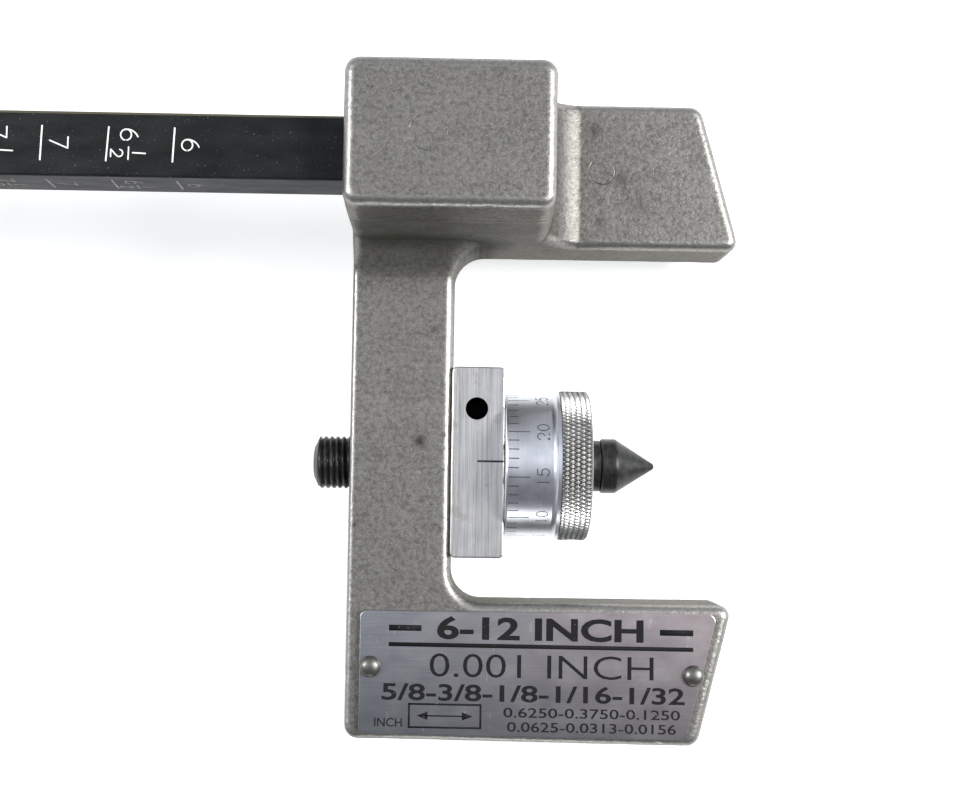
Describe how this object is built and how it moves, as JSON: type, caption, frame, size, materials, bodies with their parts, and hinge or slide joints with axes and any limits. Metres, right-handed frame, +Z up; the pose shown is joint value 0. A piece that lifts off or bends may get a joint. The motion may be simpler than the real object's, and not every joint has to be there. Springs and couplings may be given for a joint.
{
  "type": "brake drum micrometer",
  "caption": "C-frame micrometer head with a cone point and graduated thimble on a square marked bar, and a sliding jaw that locks along the bar, for measuring brake drums and rotors.",
  "frame": {"origin": "middle of the box around the tool, on the table it lies on", "axes": "+X from the sliding jaw to the cone point, +Y from the spindle to the bar, +Z up from the table"},
  "size_m": [0.3157, 0.1464, 0.058],
  "materials": {
    "cast_aluminium": "sand cast, fine grain, worn bright edges",
    "black_bar": "black oxide on drawn steel, white filled marks",
    "machined_aluminium": "milled, brush lines across the part",
    "satin_chrome": "satin, engraved divisions",
    "knurled_steel": "diamond knurl, satin",
    "black_oxide": "black oxide, ground cone",
    "printed_plate": "thin brushed plate, printed black, scratched",
    "rivet_steel": "domed, slightly tarnished",
    "screw_steel": "black oxide hardware",
    "brass": "turned, plain"
  },
  "bodies": {
    "frame": {"frame_casting": "cast_aluminium", "bar": "black_bar", "bar_set_screw_1": "screw_steel", "bar_set_screw_2": "screw_steel", "bar_stop_washer": "screw_steel", "bar_stop_screw": "screw_steel", "nut_block": "machined_aluminium", "nut_block_screw_upper": "screw_steel", "nut_block_screw_lower": "screw_steel", "nameplate": "printed_plate", "drive_rivet_left": "rivet_steel", "drive_rivet_right": "rivet_steel"},
    "point": {"cone_point": "black_oxide"},
    "thimble": {"spindle": "black_oxide", "point_retaining_pin": "screw_steel", "thimble_knob": "knurled_steel", "graduated_sleeve": "satin_chrome", "thimble_set_screw": "screw_steel", "sleeve_set_screw": "screw_steel"},
    "jaw": {"jaw_casting": "cast_aluminium", "jaw_contact": "black_oxide", "jaw_contact_set_screw": "screw_steel"},
    "lock_plunger": {"lock_plunger": "brass"},
    "lock_screw": {"lock_thumb_screw": "knurled_steel"}
  },
  "joints": [
    {"name": "point_travel", "type": "slide", "parent": "frame", "child": "point", "axis": [1, 0, 0], "range_m": [0, 0.01275]},
    {"name": "thimble_turn", "type": "hinge", "parent": "point", "child": "thimble", "pos_m": [0.07654, -0.01522, 0.016], "axis": [1, 0, 0], "range_deg": [0, 3600]},
    {"name": "jaw_slide", "type": "slide", "parent": "frame", "child": "jaw", "axis": [1, 0, 0], "range_m": [-0.1016, 0.0508]},
    {"name": "lock_travel", "type": "slide", "parent": "jaw", "child": "lock_plunger", "axis": [0, -1, 0], "range_m": [0, 0.00155]},
    {"name": "lock_turn", "type": "hinge", "parent": "lock_plunger", "child": "lock_screw", "pos_m": [-0.02761, 0.06478, 0.0415], "axis": [0, -1, 0], "range_deg": [0, 540]}
  ],
  "couplings": [
    {"joint": "point_travel", "follows": "thimble_turn", "m_per_rad": 0.00020213},
    {"joint": "lock_travel", "follows": "lock_turn", "m_per_rad": 0.00015915}
  ]
}
